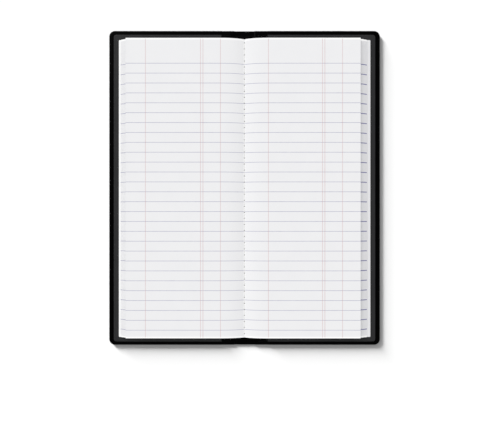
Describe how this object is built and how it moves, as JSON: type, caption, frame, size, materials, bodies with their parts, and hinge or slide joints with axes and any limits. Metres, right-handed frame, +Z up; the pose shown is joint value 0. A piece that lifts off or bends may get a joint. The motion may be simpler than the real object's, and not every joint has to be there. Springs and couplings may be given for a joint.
{
  "type": "tally book",
  "caption": "Tall pocket tally book lying open flat: black heat-sealed vinyl case with two pockets, sewn block of ruled ledger leaves.",
  "frame": {"origin": "on the table, at the bottom centre of the book's box when it lies open", "axes": "+X across the opening towards the right page, +Y towards the head of the page, +Z up from the table"},
  "size_m": [0.1808, 0.2096, 0.0057],
  "materials": {
    "cover_vinyl": "satin",
    "lining_vinyl": "satin",
    "pocket_vinyl": "matte",
    "greyboard": "matte",
    "card": "matte",
    "page_paper": "matte",
    "sewing_thread": "matte"
  },
  "bodies": {
    "back_cover": {"back_vinyl": "cover_vinyl", "back_board": "greyboard", "back_lining": "lining_vinyl", "back_pocket": "pocket_vinyl", "back_card_flap": "card"},
    "spine": {"spine_vinyl": "cover_vinyl", "spine_lining": "lining_vinyl", "back_hinge_strip": "cover_vinyl", "front_hinge_strip": "cover_vinyl", "card_spine": "card", "sewn_fold": "page_paper", "needle_thread": "sewing_thread", "bobbin_thread": "sewing_thread"},
    "front_cover": {"front_vinyl": "cover_vinyl", "front_board": "greyboard", "front_lining": "lining_vinyl", "front_pocket": "pocket_vinyl", "front_card_flap": "card"},
    "right_outer": {"right_leaf_15": "page_paper", "right_leaf_16": "page_paper", "right_leaf_17": "page_paper", "right_leaf_18": "page_paper"},
    "right_middle": {"right_leaf_09": "page_paper", "right_leaf_10": "page_paper", "right_leaf_11": "page_paper", "right_leaf_12": "page_paper", "right_leaf_13": "page_paper", "right_leaf_14": "page_paper"},
    "right_inner": {"right_leaf_06": "page_paper", "right_leaf_07": "page_paper", "right_leaf_08": "page_paper"},
    "right_turning_leaf_5": {"right_leaf_05": "page_paper"},
    "right_turning_leaf_4": {"right_leaf_04": "page_paper"},
    "right_turning_leaf_3": {"right_leaf_03": "page_paper"},
    "right_turning_leaf_2": {"right_leaf_02": "page_paper"},
    "right_turning_leaf_1": {"right_leaf_01": "page_paper"},
    "left_outer": {"left_leaf_15": "page_paper", "left_leaf_16": "page_paper", "left_leaf_17": "page_paper", "left_leaf_18": "page_paper"},
    "left_middle": {"left_leaf_09": "page_paper", "left_leaf_10": "page_paper", "left_leaf_11": "page_paper", "left_leaf_12": "page_paper", "left_leaf_13": "page_paper", "left_leaf_14": "page_paper"},
    "left_inner": {"left_leaf_06": "page_paper", "left_leaf_07": "page_paper", "left_leaf_08": "page_paper"},
    "left_turning_leaf_5": {"left_leaf_05": "page_paper"},
    "left_turning_leaf_4": {"left_leaf_04": "page_paper"},
    "left_turning_leaf_3": {"left_leaf_03": "page_paper"},
    "left_turning_leaf_2": {"left_leaf_02": "page_paper"},
    "left_turning_leaf_1": {"left_leaf_01": "page_paper"}
  },
  "joints": [
    {"name": "back_crease", "type": "hinge", "parent": "back_cover", "child": "spine", "pos_m": [0.00675, 0, 0.0003], "axis": [0, -1, 0], "range_deg": [-90, 0], "deforming": ["back_hinge_strip"]},
    {"name": "front_crease", "type": "hinge", "parent": "spine", "child": "front_cover", "pos_m": [-0.00675, 0, 0.0003], "axis": [0, -1, 0], "range_deg": [-90, 0], "deforming": ["front_hinge_strip"]},
    {"name": "right_outer_fold", "type": "hinge", "parent": "spine", "child": "right_outer", "pos_m": [0.00347, 0, 0.00328], "axis": [0, 1, 0], "range_deg": [-90, 0]},
    {"name": "right_middle_fold", "type": "hinge", "parent": "spine", "child": "right_middle", "pos_m": [0.00205, 0, 0.00445], "axis": [0, 1, 0], "range_deg": [-90, 0]},
    {"name": "right_inner_fold", "type": "hinge", "parent": "spine", "child": "right_inner", "pos_m": [-0.00057, 0, 0.00632], "axis": [0, 1, 0], "range_deg": [-90, 0]},
    {"name": "turn_right_leaf_5", "type": "hinge", "parent": "right_inner", "child": "right_turning_leaf_5", "pos_m": [0, 0, 0.00575], "axis": [0, -1, 0], "range_deg": [0, 179.99]},
    {"name": "turn_right_leaf_4", "type": "hinge", "parent": "right_turning_leaf_5", "child": "right_turning_leaf_4", "pos_m": [0, 0, 0.00575], "axis": [0, -1, 0], "range_deg": [0, 179.99]},
    {"name": "turn_right_leaf_3", "type": "hinge", "parent": "right_turning_leaf_4", "child": "right_turning_leaf_3", "pos_m": [0, 0, 0.00575], "axis": [0, -1, 0], "range_deg": [0, 179.99]},
    {"name": "turn_right_leaf_2", "type": "hinge", "parent": "right_turning_leaf_3", "child": "right_turning_leaf_2", "pos_m": [0, 0, 0.00575], "axis": [0, -1, 0], "range_deg": [0, 179.99]},
    {"name": "turn_right_leaf_1", "type": "hinge", "parent": "right_turning_leaf_2", "child": "right_turning_leaf_1", "pos_m": [0, 0, 0.00575], "axis": [0, -1, 0], "range_deg": [0, 179.99]},
    {"name": "left_outer_fold", "type": "hinge", "parent": "spine", "child": "left_outer", "pos_m": [-0.00325, 0, 0.00325], "axis": [0, -1, 0], "range_deg": [-90, 0]},
    {"name": "left_middle_fold", "type": "hinge", "parent": "spine", "child": "left_middle", "pos_m": [-0.00248, 0, 0.00387], "axis": [0, -1, 0], "range_deg": [-90, 0]},
    {"name": "left_inner_fold", "type": "hinge", "parent": "spine", "child": "left_inner", "pos_m": [-0.00028, 0, 0.00547], "axis": [0, -1, 0], "range_deg": [-90, 0]},
    {"name": "turn_left_leaf_5", "type": "hinge", "parent": "left_inner", "child": "left_turning_leaf_5", "pos_m": [0, 0, 0.00575], "axis": [0, 1, 0], "range_deg": [0, 179.99]},
    {"name": "turn_left_leaf_4", "type": "hinge", "parent": "left_turning_leaf_5", "child": "left_turning_leaf_4", "pos_m": [0, 0, 0.00575], "axis": [0, 1, 0], "range_deg": [0, 179.99]},
    {"name": "turn_left_leaf_3", "type": "hinge", "parent": "left_turning_leaf_4", "child": "left_turning_leaf_3", "pos_m": [0, 0, 0.00575], "axis": [0, 1, 0], "range_deg": [0, 179.99]},
    {"name": "turn_left_leaf_2", "type": "hinge", "parent": "left_turning_leaf_3", "child": "left_turning_leaf_2", "pos_m": [0, 0, 0.00575], "axis": [0, 1, 0], "range_deg": [0, 179.99]},
    {"name": "turn_left_leaf_1", "type": "hinge", "parent": "left_turning_leaf_2", "child": "left_turning_leaf_1", "pos_m": [0, 0, 0.00575], "axis": [0, 1, 0], "range_deg": [0, 179.99]}
  ],
  "couplings": [
    {"joint": "right_outer_fold", "follows": "back_crease", "ratio": 1},
    {"joint": "right_middle_fold", "follows": "back_crease", "ratio": 1},
    {"joint": "right_inner_fold", "follows": "back_crease", "ratio": 1},
    {"joint": "left_outer_fold", "follows": "front_crease", "ratio": 1},
    {"joint": "left_middle_fold", "follows": "front_crease", "ratio": 1},
    {"joint": "left_inner_fold", "follows": "front_crease", "ratio": 1}
  ]
}
